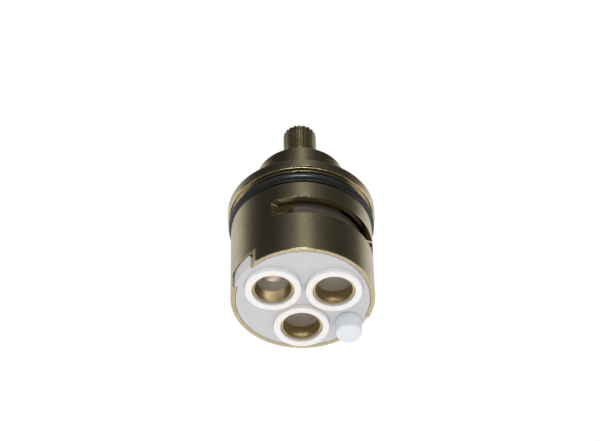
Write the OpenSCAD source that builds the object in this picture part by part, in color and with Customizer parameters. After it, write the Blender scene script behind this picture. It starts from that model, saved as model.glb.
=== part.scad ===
// Three-way diverter cartridge for a concealed shower valve.
// Millimetres. +Z runs up the spindle axis. The origin is the centre of the shell's bottom rim.
// Angles around the axis are counted from the front (-Y) towards +X.

/* [Shell barrel] */
// Outer diameter of the barrel that drops into the valve body
barrel_d = 34; // [33:0.1:36]
// Wall of the barrel beside the water chamber
barrel_wall = 1.4; // [1.2:0.05:1.7]
// Wall of the thinner bottom rim around the base
rim_wall = 1.06; // [0.9:0.02:1.2]
// Height of the bottom rim, up to the shoulder that the base seats on
rim_h = 5; // [4.6:0.1:6]
// Height of the water chamber, from the rim to the roof
chamber_h = 20.5; // [20:0.1:22]
// Metal left between the chamber's roof and the body seal groove
roof_land = 1.8; // [1.6:0.1:3]
// Width of the body seal groove
seal_groove_w = 3.45; // [3.3:0.05:3.8]
// Thickness of the body O-ring's section
body_ring_d = 2.5; // [2.2:0.1:2.6]
// How far the body O-ring stands proud of the barrel
body_ring_proud = 0.6; // [0.4:0.05:0.8]

/* [Flange and neck] */
// Distance from the body seal groove to the flange
flange_land = 0.85; // [0.5:0.05:1.2]
// How far the flange stands out past the barrel
flange_out = 0.8; // [0.6:0.05:1.2]
// Thickness of the flange
flange_t = 2.7; // [2:0.1:3.5]
// Diameter of the neck
neck_d = 21.56; // [20:0.02:23]
// Length of the neck above the flange
neck_l = 11.8; // [10:0.1:14]
// Chamfer on the turned edges of the shell
edge_chamfer = 0.3; // [0.2:0.05:0.45]
// Corner taken off the edges of the groove, the window and the carrier drum
edge_break = 0.15; // [0.1:0.05:0.2]

/* [Inlet window] */
// Height of the window's lower edge
window_z = 12; // [11:0.1:13]
// Height of the window
window_h = 5.3; // [5:0.1:6]
// Depth of the milled window, from the barrel's outside to its flat floor
window_depth = 7.8; // [7:0.1:8.5]
// Direction that the window faces
window_angle = 33; // [20:1:45]
// Radius left by the cutter along the window's floor
window_fillet = 1.3; // [1:0.1:1.6]

/* [Key slots] */
// Height of both key slots in the rim
key_slot_h = 4; // [3.6:0.1:4.3]
// Direction that the wide slot's flat floor faces
wide_slot_angle = -67.4; // [-70:0.2:-64]
// Depth of the wide slot, from the barrel's outside to its flat floor
wide_slot_depth = 2.04; // [1.8:0.02:2.3]
// Distance from the middle of that floor to the slot's closed side
wide_slot_side = 1.9; // [1.4:0.1:2.4]
// Opening angle of the narrow key slot
narrow_slot_span = 24; // [20:0.5:27]
// How far the keys stay inside the barrel's outer surface
key_inset = 0.4; // [0.3:0.05:0.5]

/* [Base and outlets] */
// Direction of the outlet that is open at rest
open_outlet = -57; // [-60:0.5:-54]
// Thickness of the base floor
base_floor = 1.3; // [1.1:0.1:1.6]
// Land of the base between a seal and the base's edge
seal_edge = 0.94; // [0.7:0.02:1.3]
// Land of the base between two neighbouring seals
seal_land = 0.98; // [0.8:0.02:1.6]
// Wall of the outlet support sleeves
sleeve_wall = 0.5; // [0.4:0.05:0.6]
// Gap between a support sleeve and its seal
sleeve_gap = 0.08; // [0.05:0.01:0.12]
// Width of an outlet seal's lip
seal_lip_w = 1.67; // [1.5:0.01:1.9]
// Step from a seal's lip down to its stem, which passes through the base
seal_step = 0.8; // [0.6:0.05:0.9]
// How far a seal stands out of the base
seal_proud = 1.45; // [1.2:0.05:1.7]
// Depth of the recess that a seal's lip sits in
seal_recess = 0.6; // [0.4:0.05:0.8]
// Width of the bead that is rounded over on a seal's lip
seal_bead = 0.35; // [0.2:0.05:0.45]
// How far a support sleeve stays behind its seal's face
sleeve_set_back = 0.8; // [0.6:0.05:1]

/* [Locating peg] */
// Direction of the peg and of the narrow key
peg_angle = 125; // [120:0.5:130]
// Distance from the peg's side to the barrel's outside
peg_edge = 0.85; // [0.65:0.05:1.1]
// Diameter of the peg
peg_d = 6.1; // [5.5:0.1:6.4]
// Length of the peg below the base
peg_l = 4.7; // [3.6:0.1:5.4]
// Radius of the peg's rounded end
peg_round = 0.7; // [0.4:0.1:1.4]
// Diameter of the peg's spigot, which also locks the fixed disc
peg_spigot_d = 3.2; // [2.8:0.1:3.6]

/* [Ceramic discs] */
// Wall of the base's skirt, which holds the fixed disc
skirt_wall = 1.58; // [1.4:0.02:1.8]
// Thickness of the fixed disc
fixed_disc_t = 1.7; // [1.5:0.1:2]
// Gap between the moving disc and the base's skirt
moving_disc_gap = 0.64; // [0.4:0.02:0.9]
// Thickness of the moving disc
moving_disc_t = 3.4; // [3:0.1:3.8]
// How far the moving disc's waterway is wider than the outlet, all round
disc_port_over = 0.25; // [0.1:0.05:0.3]
// Width of the notches in the edge of the fixed disc
disc_notch_w = 2.4; // [2:0.1:3]
// Depth of those notches
disc_notch_depth = 1; // [0.8:0.1:1.2]

/* [Disc carrier] */
// Gap between the carrier drum and the chamber's wall
drum_gap = 0.9; // [0.7:0.1:1.5]
// Opening angle of the carrier's waterway
waterway_span = 100; // [96:1:106]
// Gap between the carrier's core and the moving disc's waterway
core_gap = 0.1; // [0.05:0.05:0.4]
// Wall of the carrier's hub around the drive socket
hub_wall = 1.6; // [1.4:0.1:2]
// Floor of the hub under the drive socket
hub_floor = 1.36; // [1:0.02:2]
// Wall between the hub and the cored pockets
pocket_in_wall = 2.4; // [2:0.1:2.8]
// Outer wall of the cored pockets
pocket_wall = 1.8; // [1.5:0.1:2.2]
// Floor under the cored pockets
pocket_floor = 3; // [2.6:0.1:3.6]
// Opening angle of each cored pocket
pocket_span = 96; // [84:1:102]
// Diameter of the lugs that turn the moving disc
lug_d = 4.4; // [4:0.1:4.8]
// Length of those lugs
lug_l = 1.8; // [1.5:0.1:2]

/* [Spindle] */
// Diameter of the journal in the neck
journal_d = 12; // [11.4:0.1:12.4]
// Diameter of the thrust collar under the roof
collar_d = 18; // [17.4:0.2:19]
// Thickness of the thrust collar
collar_t = 2.53; // [2.3:0.01:2.9]
// Diameter of the drive tongue
tongue_d = 8; // [7.6:0.1:8.2]
// Distance across the tongue's two flats
tongue_flats = 5.6; // [5:0.1:6.2]
// Length of the drive tongue
tongue_l = 4; // [3.6:0.1:4.6]
// How far the plain shank lies under the spline's teeth
shank_under = 0.03; // [0.02:0.01:0.3]
// Height of the plain shank above the journal's cone
shank_l = 3.3; // [3:0.1:6]
// Height of the cone between the journal and the shank
cone_h = 1.6; // [1.2:0.1:2.4]
// Diameter over the spline's teeth
spline_d = 8.06; // [8.02:0.02:8.4]
// Depth of the spline's teeth
spline_depth = 0.42; // [0.3:0.02:0.5]
// Number of teeth
spline_teeth = 20; // [18:2:24]
// Share of the tooth pitch that a tooth takes at its root
tooth_root_share = 0.68; // [0.6:0.02:0.8]
// Share of the tooth pitch that a tooth takes at its tip
tooth_tip_share = 0.32; // [0.24:0.02:0.4]
// Length of the spline
spline_l = 8; // [7:0.1:10]
// Chamfer at the spline's end
spline_chamfer = 0.2; // [0.1:0.05:0.4]
// Bore of the tapped hole for the handle screw
screw_hole_d = 3.3; // [3.2:0.1:3.5]
// Depth of the tapped hole
screw_hole_l = 11; // [9:0.5:12]
// Thickness of the spindle O-rings' section
spindle_ring_d = 1.8; // [1.6:0.05:1.9]
// Width of the spindle O-ring grooves
spindle_groove_w = 2.2; // [2.1:0.05:2.5]
// Distance from the roof to the middle of the lower spindle O-ring
lower_ring_rise = 6; // [5:0.1:7]
// Distance between the two spindle O-rings
ring_spacing = 7; // [5:0.1:8]

/* [Retainers and stop] */
// Thickness of the slip washer under the roof
slip_washer_t = 0.5; // [0.4:0.05:0.6]
// Thickness of the washer on the neck
neck_washer_t = 0.6; // [0.5:0.05:0.8]
// Distance from the washer's edge to the neck's edge
neck_washer_edge = 2.48; // [1.8:0.02:3]
// Thickness of the circlip
circlip_t = 1; // [0.8:0.05:1.2]
// Depth of the circlip's groove in the journal
circlip_groove = 0.8; // [0.6:0.05:1]
// Radial width of the circlip
circlip_w = 2; // [1.8:0.1:2.4]
// Opening angle of the circlip
circlip_gap = 46; // [36:2:60]
// Diameter of the circlip's ears
ear_d = 2.2; // [2:0.1:2.6]
// Diameter of the holes in the ears
ear_hole_d = 0.9; // [0.7:0.1:1.2]
// Journal left above the circlip
journal_land = 0.8; // [0.6:0.1:1.2]
// Diameter of the stop pin
stop_pin_d = 2; // [1.8:0.1:2.2]
// Gap between the stop pin and the thrust collar
stop_pin_gap = 1; // [0.8:0.1:1.2]
// Length of the stop pin below the roof
stop_pin_drop = 2.6; // [2.3:0.1:2.7]
// Length of the stop pin held in the roof
stop_pin_grip = 3.4; // [2.5:0.1:3.8]
// How far the spindle turns each way from the front position
turn_each_way = 120; // [110:5:130]

/* [Clearances] */
// Radial running clearance of the journal in the neck
journal_clear = 0.06; // [0.03:0.01:0.09]
// Radial clearance of the spindle O-rings in the neck
ring_clear = 0.03; // [0.02:0.01:0.05]
// Film between the two ceramic discs
disc_film = 0.02; // [0.01:0.01:0.05]
// Axial play between moving and fixed faces
axial_play = 0.05; // [0.03:0.01:0.1]
// Loose fit of the base in the shell and of the keys in their slots
base_clear = 0.12; // [0.08:0.02:0.2]
// Close fit of pins, lugs, tongue and seals
close_clear = 0.04; // [0.02:0.01:0.08]
// Gap left at the stop when the spindle reaches its limit
stop_clear = 0.3; // [0.2:0.05:0.4]

/* [Hidden] */
$fn = 96;

barrel_r = barrel_d / 2;
chamber_r = barrel_r - barrel_wall;
rim_bore_r = barrel_r - rim_wall;
flange_r = barrel_r + flange_out;
neck_r = neck_d / 2;

window_floor = barrel_r - window_depth;

// The body O-ring fills its groove from the floor outwards.
body_ring_r = barrel_r + body_ring_proud - body_ring_d / 2;
seal_floor_r = body_ring_r - body_ring_d / 2;
seal_z0 = chamber_h + roof_land;
seal_z1 = seal_z0 + seal_groove_w;
flange_z0 = seal_z1 + flange_land;
flange_z1 = flange_z0 + flange_t;
neck_z1 = flange_z1 + neck_l;

journal_r = journal_d / 2;
neck_bore_r = journal_r + journal_clear;

// The stack of discs stands on the base floor, and the carrier reaches up to the spindle's collar.
fixed_z1 = base_floor + fixed_disc_t;
moving_z0 = fixed_z1 + disc_film;
moving_z1 = moving_z0 + moving_disc_t;
slip_z0 = chamber_h - slip_washer_t;
collar_z1 = slip_z0 - axial_play;
carrier_z1 = collar_z1 - collar_t;

base_r = rim_bore_r - base_clear;
key_r = barrel_r - key_inset;
cup_bore_r = base_r - skirt_wall;
fixed_disc_r = cup_bore_r - close_clear;
moving_disc_r = cup_bore_r - moving_disc_gap;
carrier_r = chamber_r - drum_gap;
outlet_angles = [open_outlet, open_outlet + 120, open_outlet + 240];
rib_angles = [open_outlet - 60, open_outlet + 60];

// Three equal seals fill the base: each touches its edge land and the lands to its two neighbours.
spacing = 2 * sin(60);
seal_r = (base_r - seal_edge - seal_land / spacing) / (1 + 2 / spacing);
outlet_pitch_r = base_r - seal_edge - seal_r;
seal_stem_r = seal_r - seal_step;
seal_bore_r = seal_r - seal_lip_w;
sleeve_r = seal_bore_r - sleeve_gap;
outlet_r = sleeve_r - sleeve_wall;
disc_port_r = outlet_r + disc_port_over;
peg_pitch_r = barrel_r - peg_edge - peg_d / 2;

hub_r = tongue_d / 2 + hub_wall;
hub_h = tongue_l + hub_floor;
core_r = outlet_pitch_r - disc_port_r - core_gap;
pocket_in_r = hub_r + pocket_in_wall;

// The wide slot's flat floor cuts through the rim's wall at one side and runs out of it at the other.
key_gap_deg = base_clear / barrel_r * 180 / PI;
wide_slot_floor = barrel_r - wide_slot_depth;
wide_key_a1 = wide_slot_angle + acos(wide_slot_floor / rim_bore_r) - key_gap_deg;
narrow_slot_a0 = peg_angle - narrow_slot_span / 2;
narrow_slot_a1 = peg_angle + narrow_slot_span / 2;

// Above the neck: washer, circlip, the journal's end, the shank and the spline.
washer_z1 = neck_z1 + neck_washer_t;
clip_z0 = washer_z1 + axial_play;
clip_z1 = clip_z0 + circlip_t;
journal_z1 = clip_z1 + close_clear + journal_land;
shank_z0 = journal_z1 + cone_h;
spline_z0 = shank_z0 + shank_l;
spindle_z1 = spline_z0 + spline_l;
spline_tip_r = spline_d / 2;
shank_r = spline_tip_r - shank_under;
neck_washer_r = neck_r - neck_washer_edge;
clip_groove_r = journal_r - circlip_groove;
clip_in_r = clip_groove_r + close_clear;
clip_out_r = clip_in_r + circlip_w;
ear_r = ear_d / 2;

lower_ring_z = chamber_h + lower_ring_rise;
upper_ring_z = lower_ring_z + ring_spacing;
spindle_ring_r = neck_bore_r - ring_clear - spindle_ring_d / 2;
spindle_ring_floor = spindle_ring_r - spindle_ring_d / 2;

// The stop segment of the collar meets the pin after the same turn either way.
stop_pin_angle = 180;
stop_pitch_r = collar_d / 2 + stop_pin_gap + stop_pin_d / 2;
stop_pin_arc = asin((stop_pin_d / 2 + stop_clear) / stop_pitch_r);
segment_half = 180 - turn_each_way - stop_pin_arc;
segment_r = stop_pitch_r + stop_pin_d / 2 + stop_clear;

waterway_a0 = open_outlet - waterway_span / 2;
waterway_a1 = open_outlet + waterway_span / 2;
lug_angles = [outlet_angles[1], outlet_angles[2]];
lug_pitch_r = outlet_pitch_r;

// How far a cutter reaches past the face that it opens.
over = 1;

// Places its children at an angle round the axis and a distance from it.
module around(angle, pitch_r = 0) {
    rotate([0, 0, angle]) translate([0, -pitch_r, 0]) children();
}

// A ring from one height to another.
module ring(in_r, out_r, z0, z1) {
    rotate_extrude() translate([in_r, z0]) square([out_r - in_r, z1 - z0]);
}

// Part of a ring between two angles.
module ring_sector(in_r, out_r, z0, z1, a0, a1) {
    rotate([0, 0, a0 - 90]) rotate_extrude(angle = a1 - a0)
        translate([in_r, z0]) square([out_r - in_r, z1 - z0]);
}

// A rectangle whose two far corners are rounded, as a cutter leaves them.
module slot_profile(depth, height, fillet) {
    square([depth - fillet, height]);
    translate([0, fillet]) square([depth, height - 2 * fillet]);
    for (y = [fillet, height - fillet]) {
        translate([depth - fillet, y]) circle(r = fillet);
    }
}

// The side window is milled straight across the barrel.
module window_cut() {
    depth = barrel_r + over - window_floor;
    around(window_angle) rotate([90, 0, 90]) linear_extrude(height = 2 * barrel_d, center = true)
        translate([-barrel_r - over, window_z]) slot_profile(depth, window_h, window_fillet);
}

// The corner is taken off the two curved edges that the window leaves in the barrel.
module window_edges() {
    edge_r = barrel_r - edge_break;
    half = acos((window_floor + window_fillet + 2 * edge_break) / edge_r);
    for (edge = [[window_z, -1], [window_z + window_h, 1]])
        rotate([0, 0, window_angle - half - 90]) rotate_extrude(angle = 2 * half) polygon([
            [edge_r, edge[0]], [edge_r, edge[0] - edge[1] * over],
            [barrel_r + over, edge[0] - edge[1] * over],
            [barrel_r + over, edge[0] + edge[1] * (edge_break + over)]
        ]);
}

// The wide slot is milled straight, with its floor flat and one side open.
module wide_slot_cut() {
    around(wide_slot_angle) translate([-wide_slot_side, -barrel_r - over, -over])
        cube([barrel_d, wide_slot_depth + over, key_slot_h + over]);
}

// The turned outline of the shell, from the bottom rim up and back down inside.
module shell_outline() {
    c = edge_chamfer;
    b = edge_break;
    polygon([
        [rim_bore_r, 0], [barrel_r, 0],
        [barrel_r, seal_z0 - b], [barrel_r - b, seal_z0], [seal_floor_r, seal_z0],
        [seal_floor_r, seal_z1], [barrel_r - b, seal_z1], [barrel_r, seal_z1 + b],
        [barrel_r, flange_z0], [flange_r - c, flange_z0], [flange_r, flange_z0 + c],
        [flange_r, flange_z1 - c], [flange_r - c, flange_z1], [neck_r, flange_z1],
        [neck_r, neck_z1 - c], [neck_r - c, neck_z1],
        [neck_bore_r + c, neck_z1], [neck_bore_r, neck_z1 - c],
        [neck_bore_r, chamber_h], [chamber_r, chamber_h],
        [chamber_r, rim_h], [rim_bore_r, rim_h]
    ]);
}

module body_shell() {
    color([0.72, 0.64, 0.45]) difference() {
        rotate_extrude() shell_outline();
        window_cut();
        window_edges();
        wide_slot_cut();
        ring_sector(chamber_r - over, barrel_r + over, -over, key_slot_h, narrow_slot_a0, narrow_slot_a1);
        around(stop_pin_angle, stop_pitch_r) translate([0, 0, chamber_h - over])
            cylinder(r = stop_pin_d / 2 + close_clear, h = stop_pin_grip + close_clear + over);
    }
}

module body_o_ring() {
    color([0.1, 0.1, 0.11]) rotate_extrude()
        translate([body_ring_r, (seal_z0 + seal_z1) / 2]) circle(d = body_ring_d);
}

module slip_washer() {
    color([0.93, 0.93, 0.9]) ring(neck_bore_r + base_clear, collar_d / 2, slip_z0, chamber_h);
}

module stop_pin() {
    color([0.75, 0.75, 0.76]) around(stop_pin_angle, stop_pitch_r)
        translate([0, 0, chamber_h - stop_pin_drop])
            cylinder(d = stop_pin_d, h = stop_pin_drop + stop_pin_grip);
}

module neck_washer() {
    color([0.75, 0.75, 0.76]) ring(neck_bore_r + base_clear, neck_washer_r, neck_z1, washer_z1);
}

// The three holes in the base, each stepped for a seal's lip and stem.
module seal_seats() {
    for (a = outlet_angles) around(a, outlet_pitch_r) {
        translate([0, 0, -over]) cylinder(r = seal_r + close_clear, h = seal_recess + over);
        translate([0, 0, -over]) cylinder(r = seal_stem_r + close_clear, h = base_floor + 2 * over);
    }
}

// The wide key bears on the slot's closed side and ends where the slot's floor meets the rim's bore.
module wide_key() {
    intersection() {
        ring_sector(cup_bore_r, key_r, 0, key_slot_h - base_clear, wide_slot_angle - 90, wide_key_a1);
        around(wide_slot_angle) translate([base_clear - wide_slot_side, -barrel_d, -over])
            cube([barrel_d, barrel_d, key_slot_h + over]);
    }
}

module base_cup() {
    color([0.86, 0.85, 0.86]) difference() {
        union() {
            cylinder(r = base_r, h = base_floor);
            ring(cup_bore_r, base_r, 0, rim_h);
            wide_key();
            ring_sector(cup_bore_r, key_r, 0, key_slot_h - base_clear,
                narrow_slot_a0 + key_gap_deg, narrow_slot_a1 - key_gap_deg);
            for (a = rib_angles) around(a, cup_bore_r + close_clear)
                translate([close_clear - disc_notch_w / 2, 0, 0])
                    cube([disc_notch_w - 2 * close_clear, disc_notch_depth, fixed_z1 - close_clear]);
        }
        seal_seats();
        around(peg_angle, peg_pitch_r) translate([0, 0, -over])
            cylinder(r = peg_spigot_d / 2 + close_clear, h = fixed_z1 + over);
    }
}

module locating_peg() {
    r = peg_d / 2;
    color([0.88, 0.91, 0.94]) around(peg_angle, peg_pitch_r) rotate_extrude() union() {
        translate([0, -peg_l]) square([r - peg_round, peg_l]);
        translate([0, peg_round - peg_l]) square([r, peg_l - peg_round]);
        intersection() {
            translate([r - peg_round, peg_round - peg_l]) circle(r = peg_round);
            translate([0, -peg_l]) square([r, peg_round]);
        }
        square([peg_spigot_d / 2, fixed_z1 - close_clear]);
    }
}

module fixed_disc() {
    color([0.92, 0.9, 0.86]) difference() {
        translate([0, 0, base_floor]) cylinder(r = fixed_disc_r, h = fixed_disc_t);
        for (a = outlet_angles) around(a, outlet_pitch_r) cylinder(r = seal_bore_r, h = fixed_z1 + over);
        for (a = rib_angles) around(a, fixed_disc_r + over) translate([-disc_notch_w / 2, 0, 0])
            cube([disc_notch_w, disc_notch_depth + over, fixed_z1 + over]);
        around(peg_angle, peg_pitch_r) cylinder(r = peg_spigot_d / 2 + close_clear, h = fixed_z1 + over);
    }
}

// The half section of an outlet seal: a stem through the base and a lip with a rounded bead outside.
module seal_outline() {
    translate([seal_bore_r, seal_bead - seal_proud])
        square([seal_lip_w, seal_proud - seal_bead + seal_recess]);
    translate([seal_bore_r + seal_bead, -seal_proud]) square([seal_lip_w - 2 * seal_bead, seal_bead]);
    for (x = [seal_bore_r + seal_bead, seal_r - seal_bead]) {
        translate([x, seal_bead - seal_proud]) circle(r = seal_bead);
    }
    translate([seal_bore_r, 0]) square([seal_stem_r - seal_bore_r, base_floor]);
}

module outlet_seal(angle) {
    color([0.95, 0.95, 0.94]) around(angle, outlet_pitch_r) rotate_extrude() seal_outline();
}

// A sleeve reaches from inside its seal, through the fixed disc, to just under the moving disc.
module outlet_sleeve(angle) {
    color([0.8, 0.66, 0.38]) around(angle, outlet_pitch_r)
        ring(outlet_r, sleeve_r, sleeve_set_back - seal_proud, fixed_z1 - base_clear);
}

module seal_left() {
    outlet_seal(outlet_angles[0]);
}

module seal_right() {
    outlet_seal(outlet_angles[1]);
}

module seal_rear() {
    outlet_seal(outlet_angles[2]);
}

module sleeve_left() {
    outlet_sleeve(outlet_angles[0]);
}

module sleeve_right() {
    outlet_sleeve(outlet_angles[1]);
}

module sleeve_rear() {
    outlet_sleeve(outlet_angles[2]);
}

module moving_disc() {
    color([0.62, 0.58, 0.55]) difference() {
        translate([0, 0, moving_z0]) cylinder(r = moving_disc_r, h = moving_disc_t);
        around(open_outlet, outlet_pitch_r) translate([0, 0, moving_z0 - over])
            cylinder(r = disc_port_r, h = moving_disc_t + 2 * over);
        for (a = lug_angles) around(a, lug_pitch_r) translate([0, 0, moving_z1 - lug_l - close_clear])
            cylinder(r = lug_d / 2 + close_clear, h = lug_l + over);
    }
}

// A disc with two flats, used for the spindle's tongue and, with a clearance, for its socket.
module tongue_section(clear) {
    intersection() {
        circle(r = tongue_d / 2 + clear);
        square([tongue_d * 2, tongue_flats + 2 * clear], center = true);
    }
}

// The outline of the carrier drum, with both its outer corners taken off.
module drum_outline() {
    b = edge_break;
    polygon([
        [0, moving_z1], [carrier_r - b, moving_z1], [carrier_r, moving_z1 + b],
        [carrier_r, carrier_z1 - b], [carrier_r - b, carrier_z1], [0, carrier_z1]
    ]);
}

module disc_carrier() {
    pocket_r = carrier_r - pocket_wall;
    color([0.5, 0.46, 0.45]) difference() {
        union() {
            difference() {
                rotate_extrude() drum_outline();
                ring_sector(core_r, carrier_r + over, moving_z1 - over, carrier_z1 + over,
                    waterway_a0, waterway_a1);
                for (a = lug_angles) {
                    ring_sector(pocket_in_r, pocket_r, moving_z1 + pocket_floor, carrier_z1 + over,
                        a - pocket_span / 2, a + pocket_span / 2);
                }
            }
            translate([0, 0, carrier_z1 - hub_h]) cylinder(r = hub_r, h = hub_h);
            for (a = lug_angles) around(a, lug_pitch_r) translate([0, 0, moving_z1 - lug_l])
                cylinder(d = lug_d, h = lug_l + over);
        }
        translate([0, 0, carrier_z1 - tongue_l - close_clear]) linear_extrude(height = tongue_l + over)
            tongue_section(close_clear);
    }
}

// The turned outline of the spindle above its tongue.
module spindle_outline() {
    half_groove = spindle_groove_w / 2;
    polygon([
        [0, carrier_z1], [collar_d / 2, carrier_z1], [collar_d / 2, collar_z1], [journal_r, collar_z1],
        [journal_r, lower_ring_z - half_groove], [spindle_ring_floor, lower_ring_z - half_groove],
        [spindle_ring_floor, lower_ring_z + half_groove], [journal_r, lower_ring_z + half_groove],
        [journal_r, upper_ring_z - half_groove], [spindle_ring_floor, upper_ring_z - half_groove],
        [spindle_ring_floor, upper_ring_z + half_groove], [journal_r, upper_ring_z + half_groove],
        [journal_r, clip_z0], [clip_groove_r, clip_z0],
        [clip_groove_r, clip_z1 + close_clear], [journal_r, clip_z1 + close_clear],
        [journal_r, journal_z1], [shank_r, shank_z0], [shank_r, spline_z0], [0, spline_z0]
    ]);
}

// The spline's section goes up one flank of each tooth, across its tip and down the other flank.
module spline_section() {
    step = 360 / spline_teeth;
    root = step * tooth_root_share / 2;
    tip = step * tooth_tip_share / 2;
    root_r = spline_tip_r - spline_depth;
    polygon([
        for (tooth = [0 : spline_teeth - 1])
            for (corner = [[root_r, -root], [spline_tip_r, -tip], [spline_tip_r, tip], [root_r, root]])
                corner[0] * [cos(step * tooth + corner[1]), sin(step * tooth + corner[1])]
    ]);
}

// The teeth are chamfered at the spline's end.
module spline() {
    intersection() {
        translate([0, 0, spline_z0]) linear_extrude(height = spline_l) spline_section();
        rotate_extrude() polygon([
            [0, spline_z0], [spline_tip_r + over, spline_z0],
            [spline_tip_r + over, spindle_z1 - spline_chamfer - over],
            [spline_tip_r - spline_chamfer, spindle_z1], [0, spindle_z1]
        ]);
    }
}

module spindle() {
    color([0.74, 0.62, 0.4]) difference() {
        union() {
            rotate_extrude() spindle_outline();
            translate([0, 0, carrier_z1 - tongue_l]) linear_extrude(height = tongue_l) tongue_section(0);
            ring_sector(journal_r, segment_r, carrier_z1 + stop_clear, collar_z1 - stop_clear,
                stop_pin_angle + 180 - segment_half, stop_pin_angle + 180 + segment_half);
            spline();
        }
        translate([0, 0, spindle_z1 - screw_hole_l]) cylinder(d = screw_hole_d, h = screw_hole_l + over);
    }
}

module spindle_ring(height) {
    color([0.1, 0.1, 0.11]) rotate_extrude()
        translate([spindle_ring_r, height]) circle(d = spindle_ring_d);
}

module spindle_o_ring_lower() {
    spindle_ring(lower_ring_z);
}

module spindle_o_ring_upper() {
    spindle_ring(upper_ring_z);
}

module circlip() {
    half_gap = circlip_gap / 2;
    ear_pitch = clip_out_r - ear_r / 2;
    color([0.55, 0.55, 0.57]) difference() {
        union() {
            ring_sector(clip_in_r, clip_out_r, clip_z0, clip_z1, half_gap, 360 - half_gap);
            for (s = [-1, 1]) around(s * half_gap, ear_pitch) translate([0, 0, clip_z0])
                cylinder(r = ear_r, h = circlip_t);
        }
        for (s = [-1, 1]) around(s * half_gap, ear_pitch) translate([0, 0, clip_z0 - over])
            cylinder(d = ear_hole_d, h = circlip_t + 2 * over);
    }
}

body_shell();
body_o_ring();
slip_washer();
stop_pin();
neck_washer();
base_cup();
locating_peg();
fixed_disc();
seal_left();
seal_right();
seal_rear();
sleeve_left();
sleeve_right();
sleeve_rear();
spindle();
spindle_o_ring_lower();
spindle_o_ring_upper();
circlip();
disc_carrier();
moving_disc();
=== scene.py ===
# %% [markdown]
# # A diverter cartridge, dressed in Blender
# The cartridge turns the flow of a shower from one outlet to another. A CAD model holds its
# pieces at their real size, and this lesson gives them light, finishes and small details.
# The CAD pieces come in first, as a frame that nothing here moves. The studio is measured in
# metres, as Blender counts, and the cartridge in millimetres, which MM turns into metres.

# %% Load the fixed frame
import math

import bpy
from mathutils import Matrix, Vector


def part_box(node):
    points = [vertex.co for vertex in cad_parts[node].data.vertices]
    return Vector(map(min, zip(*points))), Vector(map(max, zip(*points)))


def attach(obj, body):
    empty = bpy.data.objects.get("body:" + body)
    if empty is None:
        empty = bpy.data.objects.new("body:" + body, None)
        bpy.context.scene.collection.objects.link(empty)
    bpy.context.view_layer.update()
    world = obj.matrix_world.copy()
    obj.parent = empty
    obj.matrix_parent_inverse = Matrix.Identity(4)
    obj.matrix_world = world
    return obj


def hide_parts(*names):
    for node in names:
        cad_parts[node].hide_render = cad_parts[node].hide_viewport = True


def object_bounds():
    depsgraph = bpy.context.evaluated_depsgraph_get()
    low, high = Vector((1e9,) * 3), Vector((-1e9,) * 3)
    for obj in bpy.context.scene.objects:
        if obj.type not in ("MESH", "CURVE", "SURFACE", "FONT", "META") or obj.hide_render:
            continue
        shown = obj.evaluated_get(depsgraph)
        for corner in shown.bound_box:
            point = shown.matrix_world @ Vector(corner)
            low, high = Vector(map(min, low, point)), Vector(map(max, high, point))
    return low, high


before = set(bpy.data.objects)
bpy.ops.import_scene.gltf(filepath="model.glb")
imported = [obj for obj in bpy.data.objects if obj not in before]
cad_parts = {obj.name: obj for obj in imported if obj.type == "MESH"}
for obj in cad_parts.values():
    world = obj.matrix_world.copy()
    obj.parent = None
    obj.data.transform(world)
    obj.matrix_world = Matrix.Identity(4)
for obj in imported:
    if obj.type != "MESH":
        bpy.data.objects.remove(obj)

MM = 0.001
cad_low, cad_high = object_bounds()
cad_box = [round(side / MM, 2) for side in (*cad_low, *cad_high)]
print("CAD pieces:", len(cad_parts), "box in mm:", cad_box)

# %% [markdown]
# ## The camera
# The photograph looks up at the cartridge from below, with a long lens. A long lens standing far
# off keeps the round rim nearly as wide as the flange behind it. The camera is set by where it
# stands, by the point on the spindle's axis that it looks at, and by a small roll.

# %% Set the camera
PHOTO_ELEVATION = math.radians(-43.626)
PHOTO_DISTANCE = 578.9 * MM
PHOTO_AIM = Vector((-0.3, 0, 26.44)) * MM
PHOTO_ROLL = math.radians(1.115)
PHOTO_LENS = 147.75
PHOTO_SENSOR = 36

photo_camera = bpy.data.cameras.new("photo_camera")
photo_camera.lens = PHOTO_LENS
photo_camera.sensor_width = PHOTO_SENSOR
camera = bpy.data.objects.new("photo_camera", photo_camera)
bpy.context.scene.collection.objects.link(camera)
stand = Vector((0, -math.cos(PHOTO_ELEVATION), math.sin(PHOTO_ELEVATION))) * PHOTO_DISTANCE
turn = (PHOTO_AIM - stand).to_track_quat("-Z", "Y").to_matrix() @ Matrix.Rotation(-PHOTO_ROLL, 3, "Z")
camera.matrix_world = Matrix.Translation(stand) @ turn.to_4x4()
bpy.context.scene.camera = camera
bpy.context.scene.view_settings.view_transform = "Standard"
print("Camera stands at", [round(x, 3) for x in stand])

# %% [markdown]
# ## Tools for materials
# A material is a small net of nodes. These helpers add a node, set its values and join it up, so
# that each net below stays short. The papers of the studio and the finishes of the cartridge are
# all made with them.

# %% Helpers for nodes
def plain_finish(name, colour, roughness, metallic=0.0):
    """A new material, its node tree and its main shader."""
    finish = bpy.data.materials.new(name)
    finish.use_nodes = True
    shader = finish.node_tree.nodes["Principled BSDF"]
    shader.inputs["Base Color"].default_value = (*colour, 1)
    shader.inputs["Roughness"].default_value = roughness
    shader.inputs["Metallic"].default_value = metallic
    return finish, finish.node_tree, shader


def add(tree, kind, inputs=None, **settings):
    """Adds one node, with values or links for its inputs."""
    node = tree.nodes.new(kind)
    for key, value in settings.items():
        setattr(node, key, value)
    for key, value in (inputs or {}).items():
        if isinstance(value, bpy.types.NodeSocket):
            tree.links.new(value, node.inputs[key])
        else:
            node.inputs[key].default_value = value
    return node


def calculate(tree, operation, *values):
    """One step of arithmetic on numbers or links."""
    return add(tree, "ShaderNodeMath", dict(enumerate(values)), operation=operation).outputs[0]


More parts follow.
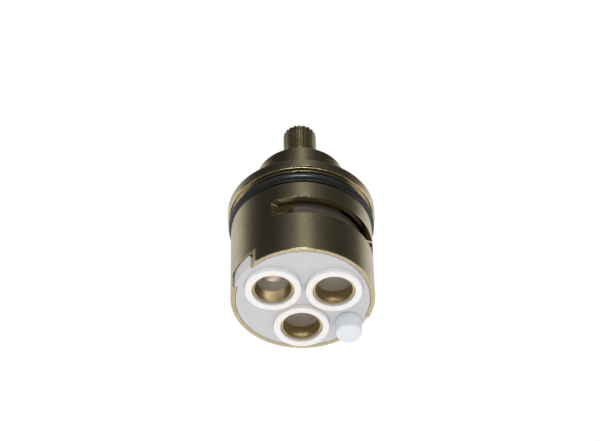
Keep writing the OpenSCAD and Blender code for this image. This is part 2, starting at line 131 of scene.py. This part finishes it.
def spread(tree, value, low, high, out_low=0.0, out_high=1.0):
    """Stretches the part of a value from low to high over a new range."""
    return add(tree, "ShaderNodeMapRange", {
        "Value": value, "From Min": low, "From Max": high,
        "To Min": out_low, "To Max": out_high}).outputs[0]


# %% [markdown]
# ## The studio
# Turned brass is a mirror, so it looks like what stands round it. The photograph's brass is dark,
# with one pale streak down the middle and pale sides, which shows a white room with dark cloth on
# both sides of a single tall lamp. Here the room is the world, at a strength of 1, so that white
# stays white and a colour renders as it is written. Its floor is a large sheet of paper. Mirrors
# see that sheet as plain white, because a light path node swaps its shader for a glow there.

# %% Add the white room and the floor
FLOOR_Z = -0.62
FLOOR_SIZE = 14
FLOOR_WHITE = (0.9, 0.9, 0.9)
ROOM_WHITE = (1, 1, 1, 1)


def deselect_all():
    bpy.ops.object.select_all(action="DESELECT")


room = bpy.data.worlds.new("white_room")
room.use_nodes = True
room.node_tree.nodes["Background"].inputs["Color"].default_value = ROOM_WHITE
room.node_tree.nodes["Background"].inputs["Strength"].default_value = 1
bpy.context.scene.world = room

floor_paper, floor_tree, floor_shader = plain_finish("floor_paper", FLOOR_WHITE, roughness=0.9)
ray = add(floor_tree, "ShaderNodeLightPath").outputs
mirrored = calculate(floor_tree, "MAXIMUM", ray["Is Glossy Ray"], ray["Is Transmission Ray"])
white_glow = add(floor_tree, "ShaderNodeEmission").outputs[0]
either = add(floor_tree, "ShaderNodeMixShader", {
    0: mirrored, 1: floor_shader.outputs[0], 2: white_glow})
floor_tree.links.new(either.outputs[0], floor_tree.nodes["Material Output"].inputs["Surface"])

deselect_all()
bpy.ops.mesh.primitive_plane_add(size=FLOOR_SIZE, location=(0, 0, FLOOR_Z))
floor = bpy.context.object
floor.name = "floor"
floor.data.materials.append(floor_paper)
print("Floor at", FLOOR_Z, "m")

# %% [markdown]
# The cloth and the lamp are one wide paper tube round the cartridge, glowing faintly in bands of
# grey. Each band is one direction round the axis, so the tube sets how bright each side of the
# brass looks. The camera looks through the tube, because it doesn't see it.

# %% Add the banded tube
TUBE_RADIUS = 0.9
TUBE_LOW = 0.30
TUBE_HIGH = 2.4
TUBE_SIDES = 180
# Glow against the direction round the axis, counted from the front (-Y) towards +X.
TUBE_BANDS = [
    (-180, 0.68), (-150, 0.68), (-131, 0.74), (-123, 0.69), (-117, 0.62), (-111, 0.49), (-105, 0.375),
    (-100, 0.255), (-95, 0.168), (-90, 0.11), (-84, 0.08), (-70, 0.035), (-40, 0.02), (-25, 0.042),
    (-11, 0.10), (-5, 0.16), (-3, 0.37), (13, 0.37), (15, 0.17), (28, 0.077), (42, 0.048), (72, 0.042),
    (90, 0.08), (98, 0.098), (108, 0.26), (114, 0.43), (120, 0.56), (127, 0.68), (134, 0.74), (143, 0.80),
    (156, 0.80), (180, 0.70),
]


def glowing_paper(name):
    """A black material that shows nothing but its own glow."""
    paper, tree, shader = plain_finish(name, (0, 0, 0), roughness=1.0)
    shader.inputs["Specular IOR Level"].default_value = 0
    shader.inputs["Emission Strength"].default_value = 1
    return paper, tree, shader


def band_glow(tree):
    """The tube's glow, read from the direction round the axis."""
    place = add(tree, "ShaderNodeTexCoord").outputs["Object"]
    split = add(tree, "ShaderNodeSeparateXYZ", {0: place})
    back = calculate(tree, "MULTIPLY", split.outputs[1], -1)
    turned = calculate(tree, "ARCTAN2", split.outputs[0], back)
    share = spread(tree, turned, -math.pi, math.pi)
    ramp = add(tree, "ShaderNodeValToRGB", {0: share})
    stops = ramp.color_ramp.elements
    stops.remove(stops[-1])
    for index, (angle, glow) in enumerate(TUBE_BANDS):
        at = (angle + 180) / 360
        stop = stops.new(at) if index else stops[0]
        stop.position = at
        stop.color = (glow, glow, glow, 1)
    return ramp.outputs["Color"]


deselect_all()
bpy.ops.mesh.primitive_cylinder_add(
    vertices=TUBE_SIDES, radius=TUBE_RADIUS, depth=TUBE_HIGH - TUBE_LOW,
    end_fill_type="NOTHING", location=(0, 0, (TUBE_HIGH + TUBE_LOW) / 2))
tube = bpy.context.object
tube.name = "banded_tube"
band_paper, band_tree, band_shader = glowing_paper("banded_paper")
band_tree.links.new(band_glow(band_tree), band_shader.inputs["Emission Color"])
tube.data.materials.append(band_paper)
tube.visible_camera = False
print("Tube with", len(TUBE_BANDS), "bands")

# %% [markdown]
# Below the front, where the photograph was taken from, the room is dark. Corners and rounded
# edges of brass look back that way, so a dark bowl takes that place. It is a ball cut at its top
# and its back. Only mirrors see it: it throws no shadow and takes no light from the pale base.

# %% Add the dark bowl
BOWL_RADIUS = 0.56
BOWL_TOP = 0.10
BOWL_BACK = 0.0
BOWL_SEGMENTS = 96
BOWL_RINGS = 48
BOWL_GREY = (0.05, 0.05, 0.05, 1)


def edit_mode(piece):
    """Opens one piece for work on its edges."""
    deselect_all()
    piece.select_set(True)
    bpy.context.view_layer.objects.active = piece
    bpy.ops.object.mode_set(mode="EDIT")
    bpy.ops.mesh.select_mode(type="EDGE")


def object_mode():
    bpy.ops.object.mode_set(mode="OBJECT")


deselect_all()
bpy.ops.mesh.primitive_uv_sphere_add(segments=BOWL_SEGMENTS, ring_count=BOWL_RINGS, radius=BOWL_RADIUS)
bowl = bpy.context.object
bowl.name = "dark_bowl"
edit_mode(bowl)
for plane_co, plane_no in (((0, 0, BOWL_TOP), (0, 0, 1)), ((0, BOWL_BACK, 0), (0, 1, 0))):
    bpy.ops.mesh.select_all(action="SELECT")
    bpy.ops.mesh.bisect(plane_co=plane_co, plane_no=plane_no, clear_outer=True)
object_mode()
bowl_cloth, _, cloth_shader = glowing_paper("bowl_cloth")
cloth_shader.inputs["Emission Color"].default_value = BOWL_GREY
bowl.data.materials.append(bowl_cloth)
bowl.visible_camera = bowl.visible_diffuse = bowl.visible_shadow = False
print("Bowl with", len(bowl.data.polygons), "faces")

# %% [markdown]
# Three lamps stand outside. One in front draws the streak on the rubber ring. One straight below
# catches the flange's rounded edge and lights the pale base, and a faint wide one beside it
# softens its shadows. Their power follows from their size, so that a larger lamp stays equally
# bright to look at.

# %% Add the lamps outside
AXIS_MIDDLE = Vector((0, 0, 20)) * MM


def hang_lamp(name, lamp_data, place, way):
    """Puts a lamp at a place, shining one way. The camera doesn't see it."""
    lamp = bpy.data.objects.new(name, lamp_data)
    bpy.context.scene.collection.objects.link(lamp)
    lamp.matrix_world = Matrix.Translation(place) @ way.to_track_quat("-Z", "Y").to_matrix().to_4x4()
    lamp.visible_camera = False
    return lamp


def soft_box(name, angle, elevation, distance, width, height, radiance):
    """A lamp that faces the cartridge, in degrees and metres. Its angle counts from the front (-Y)."""
    lamp_data = bpy.data.lights.new(name, "AREA")
    lamp_data.shape = "RECTANGLE"
    lamp_data.size = width
    lamp_data.size_y = height
    lamp_data.energy = radiance * width * height * math.pi
    azimuth, rise = math.radians(angle), math.radians(elevation)
    level = math.cos(rise)
    outwards = Vector((math.sin(azimuth) * level, -math.cos(azimuth) * level, math.sin(rise)))
    hang_lamp(name, lamp_data, AXIS_MIDDLE + outwards * distance, -outwards)
    print(name, "gives", round(lamp_data.energy, 5), "W")


soft_box("fill_lamp", angle=180, elevation=-88, distance=0.6, width=0.4, height=0.4, radiance=0.02)
soft_box("ring_lamp", angle=0, elevation=24, distance=0.85, width=0.3, height=0.2, radiance=19.0)
soft_box("edge_lamp", angle=3, elevation=-80, distance=0.5, width=0.22, height=0.09, radiance=9.0)

# %% [markdown]
# The inside would stay black, because little light finds its way through the side window. Small
# lamps stand there instead: five light the open waterway, one the chamber, and one in each closed
# outlet draws the pale glint on its brass sleeve. The camera sees none of them, but most of them
# show in the brass. Without its share in mirrors, a lamp only lights plastic and ceramic.

# %% Add the lamps inside
OPEN_OUTLET = (-6.9, -4.5)
CLOSED_OUTLETS = ("right", "rear")
OUTLET_LAMP_Z = 2.85
OUTLET_LAMP_BACK = 1.8
OUTLET_WALL_BACK = 4.4


def small_lamp(name, place, target, size, watts, opening=180, mirrored_too=False):
    """A round lamp inside the cartridge, in millimetres, with an opening in degrees."""
    lamp_data = bpy.data.lights.new(name, "AREA")
    lamp_data.shape = "DISK"
    lamp_data.size = size * MM
    lamp_data.energy = watts
    lamp_data.spread = math.radians(opening)
    place, target = Vector(place) * MM, Vector(target) * MM
    hang_lamp(name, lamp_data, place, target - place).visible_glossy = mirrored_too


def bulb(name, place, size, watts):
    """A small ball that shines all round, in millimetres. Mirrors don't show it."""
    lamp_data = bpy.data.lights.new(name, "POINT")
    lamp_data.energy = watts
    lamp_data.shadow_soft_size = size * MM
    hang_lamp(name, lamp_data, Vector(place) * MM, Vector((0, 0, -1))).visible_glossy = False


def middle_of(node):
    """The middle of a CAD piece's box, in metres."""
    low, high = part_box(node)
    return (low + high) / 2


# A narrow beam on the back wall of the waterway, and a wide lamp that shows in the brass below it.
small_lamp("waterway_beam", (-7.5, -10.5, 11), (-7, 2.8, 8.7), size=2, watts=4.7e-4, opening=26)
small_lamp("waterway_glint", (-6.1, -10.5, 11.3), (-7, 0, 1), size=10, watts=1.9e-4, mirrored_too=True)
# A bulb in the opening of the moving disc, above the middle of the open outlet.
bulb("waterway_lamp", (*OPEN_OUTLET, 5.5), size=1, watts=2.6e-4)
# A lamp nearly as wide as the chamber, just under its roof.
small_lamp("chamber_lamp", (0, 0, 20.3), (0, 0, 0), size=30, watts=0.9e-4, mirrored_too=True)
# Both sides of the waterway.
small_lamp("waterway_left_lamp", (-11, -5, 9.5), (-6.9, -2, 0), size=4, watts=3.5e-5, mirrored_too=True)
small_lamp("waterway_right_lamp", (-4.6, -5, 7), (-9.5, -1.5, 0), size=2, watts=2.2e-5, mirrored_too=True)
# The back wall of each closed outlet, from just below the moving disc that closes it.
for side in CLOSED_OUTLETS:
    middle = middle_of("sleeve_" + side) / MM
    place = (middle.x, middle.y + OUTLET_LAMP_BACK, OUTLET_LAMP_Z)
    target = (middle.x, middle.y + OUTLET_WALL_BACK, 0)
    small_lamp("outlet_lamp_" + side, place, target, size=0.3, watts=0.65e-6, opening=90,
               mirrored_too=True)

# %% [markdown]
# ## Rounded edges
# A turned shell leaves the lathe with its corners broken, and each broken corner draws a thin
# bright line. The CAD shell has flat chamfers or sharp corners there. A copy of its mesh gets
# small rounds instead: equal points are merged, flat faces are made whole, and the sharp edges at
# a known place are selected and bevelled.

# %% Helpers for copies of CAD pieces
MERGE_REACH = 1e-6
FLAT_WITHIN = math.radians(0.5)


def copy_of(node, name):
    """A copy of a CAD piece, with equal points merged and flat faces made whole."""
    deselect_all()
    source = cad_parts[node]
    source.select_set(True)
    bpy.context.view_layer.objects.active = source
    bpy.ops.object.duplicate()
    piece = bpy.context.object
    piece.name = name
    edit_mode(piece)
    bpy.ops.mesh.select_all(action="SELECT")
    bpy.ops.mesh.remove_doubles(threshold=MERGE_REACH)
    bpy.ops.mesh.dissolve_limited(angle_limit=FLAT_WITHIN)
    bpy.ops.mesh.customdata_custom_splitnormals_clear()
    object_mode()
    return piece


def triangles_in(piece):
    return sum(len(face.vertices) - 2 for face in piece.data.polygons)


def edge_angles(mesh):
    """The angle between the two faces at each edge, or a half turn where a face is missing."""
    sides = {}
    for face in mesh.polygons:
        for key in face.edge_keys:
            sides.setdefault(key, []).append(face.normal)
    return {key: pair[0].angle(pair[1], 0.0) if len(pair) == 2 else math.pi
            for key, pair in sides.items()}


def round_edges(piece, wanted, radius, segments=4, sharper_than=25):
    """Bevels the sharp edges whose two ends are both wanted."""
    mesh = piece.data
    angles = edge_angles(mesh)
    edit_mode(piece)
    bpy.ops.mesh.select_all(action="DESELECT")
    object_mode()
    count = 0
    for edge in mesh.edges:
        ends = [mesh.vertices[index].co / MM for index in edge.vertices]
        if angles[edge.key] > math.radians(sharper_than) and all(wanted(end) for end in ends):
            edge.select = True
            count += 1
    edit_mode(piece)
    bpy.ops.mesh.bevel(offset=radius * MM, segments=segments, affect="EDGES", clamp_overlap=True)
    object_mode()
    print(piece.name, "rounded", count, "edges by", radius, "mm")


# %% [markdown]
# Light shows every facet of a turned wall, so the normals matter as much as the shape. Smooth
# shading blends them over curves, and a weighted normal modifier keeps large faces flat. On walls
# that are turned round the spindle's axis, the true direction is known: straight away from it.

# %% Helpers for normals
def finish_normals(piece, angle=30):
    """Smooth shading on curves, while the large faces stay flat."""
    deselect_all()
    piece.select_set(True)
    bpy.context.view_layer.objects.active = piece
    bpy.ops.object.shade_smooth_by_angle(angle=math.radians(angle))
    even = piece.modifiers.new("even_normals", "WEIGHTED_NORMAL")
    even.keep_sharp = True
    bpy.ops.object.modifier_apply(modifier=even.name)


def true_walls(piece, reach=0.1, tilt=6):
    """Points the normals of walls turned round the Z axis straight away from it, or towards it.
    A wall's radius varies by less than the reach, and it leans by less than the tilt."""
    mesh = piece.data
    normals = [corner.vector.copy() for corner in mesh.corner_normals]
    count = 0
    for face in mesh.polygons:
        radii = [mesh.vertices[index].co.xy.length for index in face.vertices]
        lean = face.normal.xy.dot(face.center.xy.normalized())
        if max(radii) - min(radii) < reach * MM and abs(lean) > math.cos(math.radians(tilt)):
            count += 1
            for loop in face.loop_indices:
                away = mesh.vertices[mesh.loops[loop].vertex_index].co.xy.normalized()
                normals[loop] = Vector((away.x, away.y, 0)) * math.copysign(1, lean)
    mesh.normals_split_custom_set(normals)
    print(piece.name, "has", count, "turned wall faces")


# %% [markdown]
# The rim's outer corner gets the larger round, because the shell slides into its valve body by
# that end. The flange's lower edge gets a smaller one. The neck and the milled window keep their
# sharp edges, and their finish softens them. Then come the normals. Last, the copy rides on the
# same body as the CAD shell, takes its place and carries its material slot.

# %% Round the shell's edges
BARREL_R = 17.0
RIM_ROUND = 0.22
FLANGE_BOTTOM = 26.6
FLANGE_STEP = 0.4
FLANGE_ROUND = 0.13


def near(value, target, reach=0.02):
    return abs(value - target) < reach


def on_rim(point):
    """Whether a point, in millimetres, lies on the outer corner of the bottom rim."""
    return near(point.z, 0) and near(point.xy.length, BARREL_R)


def on_flange(point):
    """Whether a point, in millimetres, lies on the flange's lower edge, outside the barrel."""
    return near(point.z, FLANGE_BOTTOM) and point.xy.length > BARREL_R + FLANGE_STEP


shell = copy_of("body_shell", "shell_rounded")
round_edges(shell, on_rim, RIM_ROUND)
round_edges(shell, on_flange, FLANGE_ROUND)
finish_normals(shell)
true_walls(shell)
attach(shell, "housing")
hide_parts("body_shell")
print("Shell triangles", triangles_in(shell))

# %% [markdown]
# ## The thread in the spindle
# The handle's screw bites into the hole in the spindle's end. The CAD spindle has that hole at
# the size of the tap drill, and here the tap goes in. A screw modifier sweeps one tooth along a
# helix, as the real tap does, which takes fewer steps than modelling the groove. The tooth starts
# a little inside the hole, so that its faces never lie on the wall of the hole. It is also a
# little narrower than the angle of its flanks gives, which keeps its turns well apart.

# %% Model the tap
THREAD_PITCH = 0.7
THREAD_OUTER_R = 2.0
THREAD_INNER_R = 1.45
THREAD_DEPTH = 10.2
THREAD_STEPS = 32
FLANK_ANGLE = math.radians(30)
TOOTH_TIP = 0.02
TOOTH_NARROWING = 0.98
PLANE_CORNERS = (0, 1, 3, 2)

thread_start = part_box("spindle")[1].z / MM - THREAD_DEPTH
tooth_half = (THREAD_OUTER_R - THREAD_INNER_R) * math.tan(FLANK_ANGLE) * TOOTH_NARROWING
tooth = [(THREAD_INNER_R, -tooth_half), (THREAD_OUTER_R, -TOOTH_TIP),
         (THREAD_OUTER_R, TOOTH_TIP), (THREAD_INNER_R, tooth_half)]

deselect_all()
bpy.ops.mesh.primitive_plane_add(size=1)
tap = bpy.context.object
tap.name = "thread_tap"
for index, (across, rise) in zip(PLANE_CORNERS, tooth):
    tap.data.vertices[index].co = Vector((across, 0, thread_start + rise)) * MM
turns = math.ceil(THREAD_DEPTH / THREAD_PITCH) + 1
sweep = tap.modifiers.new("sweep", "SCREW")
sweep.axis = "Z"
sweep.angle = math.tau * turns
sweep.screw_offset = THREAD_PITCH * turns * MM
sweep.steps = sweep.render_steps = THREAD_STEPS * turns
bpy.ops.object.modifier_apply(modifier=sweep.name)
print("Tap with", turns, "turns")

# %% [markdown]
# The swept tooth is open at both ends, so these are filled, and its faces are pointed outwards.
# Then a boolean cuts it out of a copy of the spindle. The exact solver is slower than the fast
# one, but it keeps the fine crests whole.

# %% Cut the thread
edit_mode(tap)
bpy.ops.mesh.select_all(action="SELECT")
bpy.ops.mesh.fill_holes(sides=len(tooth))
bpy.ops.mesh.select_all(action="SELECT")
bpy.ops.mesh.normals_make_consistent(inside=False)
object_mode()

threaded = copy_of("spindle", "spindle_threaded")
cut = threaded.modifiers.new("tap", "BOOLEAN")
cut.operation = "DIFFERENCE"
cut.solver = "EXACT"
cut.object = tap
bpy.ops.object.modifier_apply(modifier=cut.name)
bpy.data.objects.remove(tap)
finish_normals(threaded)
true_walls(threaded)
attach(threaded, "rotor")
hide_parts("spindle")
print("Spindle triangles", triangles_in(threaded))

# %% [markdown]
# ## Tools for finishes
# A finish is noise, read in millimetres so that its scale is real, and spread over a small range
# of colour, of roughness and of height. The noise node keeps close to one half, so only the
# middle of its range is used.

# %% Helpers for patterns
NOISE_LOW = 0.3
NOISE_HIGH = 0.7
# The sockets of a mix node that take its share and its two colours, and the one for its result.
MIX_SHARE, MIX_FIRST, MIX_SECOND, MIX_RESULT = 0, 6, 7, 2


def vector_step(tree, operation, inputs, output="Vector"):
    """One step of arithmetic on vectors."""
    return add(tree, "ShaderNodeVectorMath", inputs, operation=operation).outputs[output]


def millimetres(tree, centre=(0, 0, 0)):
    """Object coordinates in millimetres, counted from a centre in metres."""
    place = add(tree, "ShaderNodeTexCoord").outputs["Object"]
    shifted = vector_step(tree, "SUBTRACT", {0: place, 1: Vector(centre)})
    return vector_step(tree, "SCALE", {0: shifted, "Scale": 1 / MM})


def noise(tree, vector, scale, detail=3.0, roughness=0.5):
    """A cloudy pattern. Its clouds are about one divided by the scale wide."""
    return add(tree, "ShaderNodeTexNoise", {
        "Vector": vector, "Scale": scale, "Detail": detail, "Roughness": roughness}).outputs["Fac"]


def vary(tree, pattern, least, most):
    """A value that follows a noise from one limit to the other."""
    return spread(tree, pattern, NOISE_LOW, NOISE_HIGH, least, most)


def opaque(colour):
    """A link as it is, or a plain colour made opaque."""
    return colour if isinstance(colour, bpy.types.NodeSocket) else (*colour, 1)


def blend_colours(tree, share, first, second, blend_type="MIX"):
    """Mixes two colours, each a plain one or a link."""
    inputs = {MIX_SHARE: share, MIX_FIRST: opaque(first), MIX_SECOND: opaque(second)}
    mix = add(tree, "ShaderNodeMix", inputs, data_type="RGBA", blend_type=blend_type)
    return mix.outputs[MIX_RESULT]


def shaded(tree, colour, shade):
    """A colour made darker or lighter by a shade round 1."""
    grey = add(tree, "ShaderNodeCombineXYZ", {0: shade, 1: shade, 2: shade}).outputs[0]
    return blend_colours(tree, 1.0, colour, grey, "MULTIPLY")


# %% [markdown]
# Edges need two more helpers. The bevel node bends the normal near a sharp edge, as if the edge
# were rounded, which is cheaper than a bevel on every edge of the mesh. Where its normal and the
# flat one differ, there is an edge. There handling wears a finish off, and the lighter colour
# there is also a painted highlight line along the edge.

# %% Helpers for edges and relief
BEVEL_SAMPLES = 6
WEAR_AND_HIGHLIGHT_FROM = 0.995
WEAR_AND_HIGHLIGHT_FULL = 0.9


def rounded_normal(tree, reach):
    """The normal as if sharp edges were rounded, over a reach in millimetres."""
    return add(tree, "ShaderNodeBevel", {"Radius": reach * MM}, samples=BEVEL_SAMPLES).outputs[0]


def edge_wear_and_highlight(tree, reach):
    """1 on sharp edges and 0 away from them, over a reach in millimetres: wear and a painted highlight.
    """
    flat = add(tree, "ShaderNodeNewGeometry").outputs["Normal"]
    likeness = vector_step(tree, "DOT_PRODUCT", {0: rounded_normal(tree, reach), 1: flat}, "Value")
    return spread(tree, likeness, WEAR_AND_HIGHLIGHT_FROM, WEAR_AND_HIGHLIGHT_FULL)


def raise_surface(tree, shader, height, depth, rounded):
    """Bumps a surface by a height pattern and rounds its sharp edges, both in millimetres."""
    bump = add(tree, "ShaderNodeBump", {
        "Height": height, "Distance": depth * MM, "Strength": 1.0,
        "Normal": rounded_normal(tree, rounded)})
    tree.links.new(bump.outputs[0], shader.inputs["Normal"])


# %% [markdown]
# ## Turned metal
# A lathe tool leaves fine grooves that run round the axis. They smear each reflection along the
# axis, which is what makes the pale streak so long. The pattern stretches noise round the axis:
# its vector holds the direction from the axis, which hardly changes it, and the sum of height and
# radius, which changes it fast. That sum works on walls and on faces alike.

# %% Finish for turned metal
TURN_SCALE = 12
LINE_DARK, LINE_LIGHT = 0.8, 1.08
PATCH_SCALE = 0.14
PATCH_FROM, PATCH_FULL = 0.35, 0.7
SPECK_SCALE = 2.6
SPECK_SMOOTH, SPECK_ROUGH = 0.02, 0.03
HAIR_SCALE = 4.5
HAIR_STRETCH = Vector((1, 1, 0.35))
HAIR_SHARE = 0.5


def turned_grooves(tree, place, line_pitch):
    """A vector for noise that changes with each line along the axis, but hardly round it."""
    split = add(tree, "ShaderNodeSeparateXYZ", {0: place})
    across = add(tree, "ShaderNodeCombineXYZ", {0: split.outputs[0], 1: split.outputs[1]}).outputs[0]
    radius = vector_step(tree, "LENGTH", {0: across}, "Value")
    direction = vector_step(tree, "NORMALIZE", {0: across})
    along = calculate(tree, "ADD", split.outputs[2], radius)
    lift = add(tree, "ShaderNodeCombineXYZ", {2: calculate(tree, "DIVIDE", along, line_pitch)}).outputs[0]
    round_the_axis = vector_step(tree, "SCALE", {0: direction, "Scale": TURN_SCALE})
    return vector_step(tree, "ADD", {0: round_the_axis, 1: lift})


def turned_metal(name, metal, tarnish, roughness, tarnish_share=0.3, line_pitch=0.25, line_depth=0.003,
                 centre=(0, 0, 0), grain=0.6, wear_and_highlight_reach=0.2, rounded=0.05):
    """A metal from the lathe, in millimetres. Its centre of turning is in metres."""
    finish, tree, shader = plain_finish(name, metal, roughness, metallic=1.0)
    place = millimetres(tree, centre)
    lines = noise(tree, turned_grooves(tree, place, line_pitch), scale=1.0, roughness=0.6)
    patches = noise(tree, place, PATCH_SCALE, roughness=0.6)
    specks = noise(tree, place, SPECK_SCALE, detail=4.0, roughness=0.65)
    drawn_out = vector_step(tree, "MULTIPLY", {0: place, 1: HAIR_STRETCH})
    hairs = noise(tree, drawn_out, HAIR_SCALE, roughness=0.7)

    # Tarnish lies in patches. Sharp edges are free of it: partly wear, partly a painted highlight line.
    dull = calculate(tree, "MULTIPLY", spread(tree, patches, PATCH_FROM, PATCH_FULL), tarnish_share)
    away_from_edges = calculate(tree, "SUBTRACT", 1.0, edge_wear_and_highlight(tree, wear_and_highlight_reach))
    colour = blend_colours(tree, calculate(tree, "MULTIPLY", dull, away_from_edges), metal, tarnish)
    lined = shaded(tree, colour, vary(tree, lines, LINE_DARK, LINE_LIGHT))
    tree.links.new(lined, shader.inputs["Base Color"])

    # Reflections smear across the grooves, so the grain follows a tangent that runs round the axis.
    uneven = vary(tree, specks, roughness - SPECK_SMOOTH, roughness + SPECK_ROUGH)
    tree.links.new(uneven, shader.inputs["Roughness"])
    shader.inputs["Anisotropic"].default_value = grain
    tangent = add(tree, "ShaderNodeTangent", direction_type="RADIAL", axis="Z").outputs[0]
    tree.links.new(tangent, shader.inputs["Tangent"])

    height = calculate(tree, "ADD", lines, calculate(tree, "MULTIPLY", hairs, HAIR_SHARE))
    raise_surface(tree, shader, height, line_depth, rounded)
    return finish


# %% [markdown]
# ## Moulded and pressed finishes
# Plastic, rubber and ceramic are not metal: they show their own colour, with a soft gloss over
# it. Each gets a faint mottle in its colour and a fine grain in its height. Some of them let
# light in under their surface, which subsurface scattering gives.

# %% Finish for moulded pieces
CLOUD_SCALE = 0.3
GRAIN_SMOOTH, GRAIN_ROUGH = 0.04, 0.06
GLOW_TINT = (1, 0.9, 0.8)


def moulded(name, colour, roughness, mottle=0.04, grain_size=0.35, grain_depth=0.004, glow=0.0,
            glow_reach=1.0, rounded=0.12, gloss=0.5):
    """A plastic, rubber or ceramic. Its grain, its glow's reach and its edges are in millimetres."""
    finish, tree, shader = plain_finish(name, colour, roughness)
    shader.inputs["Specular IOR Level"].default_value = gloss
    place = millimetres(tree)
    clouds = noise(tree, place, CLOUD_SCALE)
    grain = noise(tree, place, 1 / grain_size, roughness=0.6)
    mottled = shaded(tree, colour, vary(tree, clouds, 1 - mottle, 1 + mottle))
    tree.links.new(mottled, shader.inputs["Base Color"])
    uneven = vary(tree, grain, roughness - GRAIN_SMOOTH, roughness + GRAIN_ROUGH)
    tree.links.new(uneven, shader.inputs["Roughness"])
    raise_surface(tree, shader, grain, grain_depth, rounded)
    if glow:
        shader.inputs["Subsurface Weight"].default_value = glow
        shader.inputs["Subsurface Scale"].default_value = glow_reach * MM
        shader.inputs["Subsurface Radius"].default_value = GLOW_TINT
    return finish


# %% [markdown]
# ## The metals
# The shell and the spindle are the same pale brass. The photograph's spindle is duller, so
# tarnish lies over most of it, and its grooves are shallower. The clip, its washer and the stop
# pin are steel. The three sleeves are a warmer brass. Each of them is turned round its own axis,
# away from the spindle's, so each gets its own copy of the finish with its own centre.

# %% Make the metals
OUTLETS = ("left", "right", "rear")
BRASS = (0.62, 0.525, 0.335)
BRASS_TARNISH = (0.34, 0.27, 0.16)
GOLDEN = (0.60, 0.47, 0.255)
GOLDEN_TARNISH = (0.42, 0.30, 0.14)
STEEL = (0.62, 0.62, 0.64)
STEEL_DULL = (0.4, 0.4, 0.4)

turned_brass = turned_metal("turned_brass", BRASS, BRASS_TARNISH, roughness=0.2)
spindle_brass = turned_metal(
    "spindle_brass", BRASS, BRASS_TARNISH, roughness=0.25, tarnish_share=0.9, line_depth=0.001)
steel = turned_metal("steel", STEEL, STEEL_DULL, roughness=0.25)
sleeve_brass = {}
for side in OUTLETS:
    sleeve_brass[side] = turned_metal("sleeve_brass_" + side, GOLDEN, GOLDEN_TARNISH, roughness=0.3,
                                      centre=middle_of("sleeve_" + side))
print("Metals:", [item.name for item in (turned_brass, spindle_brass, steel, *sleeve_brass.values())])

# %% [markdown]
# ## Rubber, plastic and ceramic
# The rings are black rubber, and the outlet seals are white rubber. The base is a pale grey
# plastic. The peg is nylon, so light goes some way into it and its edges look soft. The carrier's
# colour is far darker than its plastic, with little gloss: painted shade that keeps the inside
# dark. The slip washer is a slick white plastic. The discs are ceramic, polished where they slide
# on each other, and the moving disc's grey is a little darker than its ceramic, as painted shade.

# %% Make the rubbers, plastics and ceramics
o_ring_rubber = moulded("o_ring_rubber", (0.012, 0.012, 0.013), roughness=0.3, mottle=0.2)
seal_rubber = moulded("seal_rubber", (0.86, 0.84, 0.82), roughness=0.45, mottle=0.02)
base_plastic = moulded("base_plastic", (0.60, 0.59, 0.60), roughness=0.42, mottle=0.03, glow=0.1)
peg_nylon = moulded("peg_nylon", (0.76, 0.79, 0.82), roughness=0.45, mottle=0.02,
                    glow=0.5, glow_reach=2.0, rounded=0.8)
# The carrier's colour is far darker than its plastic: painted shade for the inside of the cartridge.
carrier_plastic = moulded("carrier_plastic", (0.058, 0.047, 0.037), roughness=0.35, mottle=0.08,
                          gloss=0.25)
slip_plastic = moulded("slip_plastic", (0.8, 0.8, 0.77), roughness=0.4)
pale_ceramic = moulded("pale_ceramic", (0.78, 0.75, 0.68), roughness=0.25, mottle=0.02)
# The moving disc's grey is a little darker than its ceramic: painted shade deep in the closed outlets,
# where it is seen.
grey_ceramic = moulded("grey_ceramic", (0.262, 0.222, 0.175), roughness=0.22, mottle=0.05)
print("Materials in the scene:", len(bpy.data.materials))

# %% [markdown]
# ## Dressing the pieces
# Each CAD piece keeps its mesh and gets its finish in place of the plain one. The copies of the
# shell and the spindle, which stand in for their CAD pieces, get the same finishes.

# %% Give every piece its finish
FINISHES = {
    "body_shell": turned_brass, "spindle": spindle_brass,
    "body_o_ring": o_ring_rubber,
    "spindle_o_ring_lower": o_ring_rubber, "spindle_o_ring_upper": o_ring_rubber,
    "base_cup": base_plastic, "locating_peg": peg_nylon,
    "seal_left": seal_rubber, "seal_right": seal_rubber, "seal_rear": seal_rubber,
    "fixed_disc": pale_ceramic, "moving_disc": grey_ceramic, "disc_carrier": carrier_plastic,
    "slip_washer": slip_plastic, "neck_washer": steel, "circlip": steel, "stop_pin": steel,
}
for side in OUTLETS:
    FINISHES["sleeve_" + side] = sleeve_brass[side]


def dress(piece, finish):
    """Gives a piece one finish all over."""
    piece.data.materials.clear()
    piece.data.materials.append(finish)


for node, finish in FINISHES.items():
    dress(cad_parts[node], finish)
dress(shell, turned_brass)
dress(threaded, spindle_brass)
print("Dressed", len(FINISHES), "CAD pieces and 2 copies")
